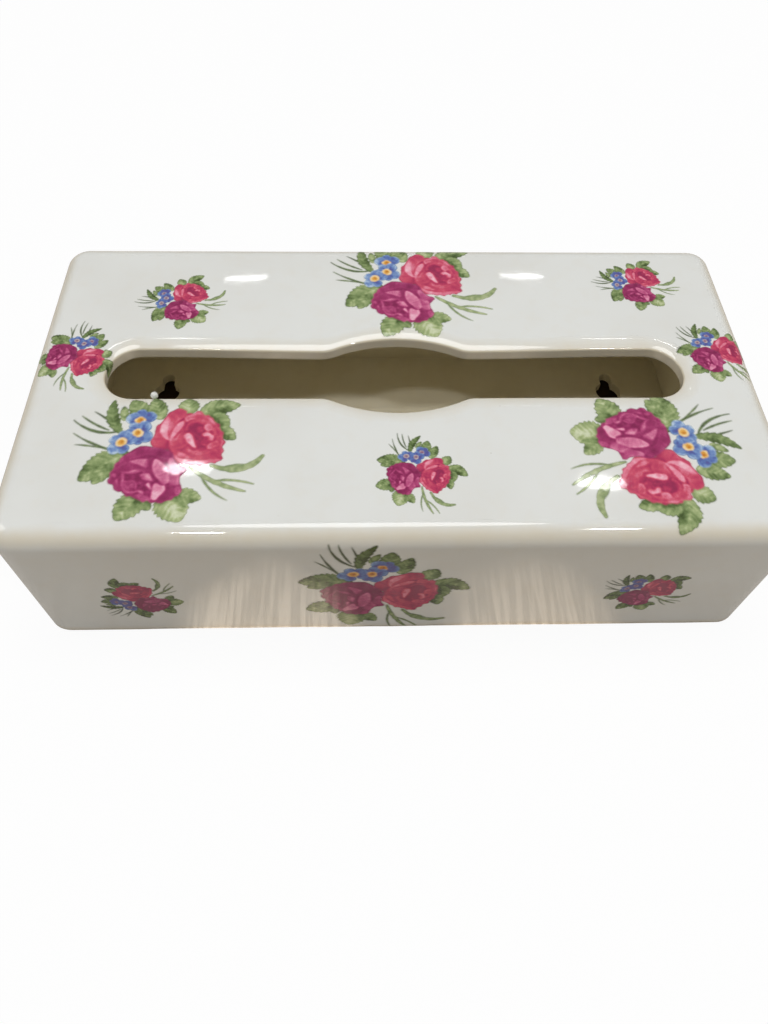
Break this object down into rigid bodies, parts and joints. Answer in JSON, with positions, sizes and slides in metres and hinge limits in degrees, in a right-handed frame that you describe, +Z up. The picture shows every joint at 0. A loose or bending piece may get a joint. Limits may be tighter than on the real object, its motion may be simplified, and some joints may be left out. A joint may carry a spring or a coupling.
{
  "type": "tissue box cover",
  "caption": "Glazed ceramic cover for a flat box of tissues, open below, with a long slot and finger opening on top and fired-on sprays of roses.",
  "frame": {"origin": "middle of the foot rim's plane, at the base of the cover", "axes": "+X to the right along the length, +Y to the back, +Z up; the front wall faces -Y"},
  "size_m": [0.2604, 0.1404, 0.0641],
  "materials": {
    "fired clay": "bare fired earthenware, fine grained and matt, seen only on the foot rim",
    "outer glaze": "clear gloss glaze over an ivory white body, slightly wavy",
    "lining glaze": "thin gloss glaze inside",
    "glazed ledge": "thin gloss glaze over clay",
    "fired enamel": "printed enamel in rose, green and blue, fired on and glossy"
  },
  "bodies": {
    "root": {"clay_body": "fired clay", "outer_glaze": "outer glaze", "inner_glaze": "lining glaze", "hanging_ledge": "glazed ledge", "spray_top_front_left": "fired enamel", "spray_top_front_middle": "fired enamel", "spray_top_front_right": "fired enamel", "spray_top_back_left": "fired enamel", "spray_top_back_middle": "fired enamel", "spray_top_back_right": "fired enamel", "spray_top_left_end": "fired enamel", "spray_top_right_end": "fired enamel", "spray_front_left": "fired enamel", "spray_front_middle": "fired enamel", "spray_front_right": "fired enamel", "spray_back_left": "fired enamel", "spray_back_right": "fired enamel", "spray_left_end_wall": "fired enamel", "spray_right_end_wall": "fired enamel"}
  },
  "joints": []
}
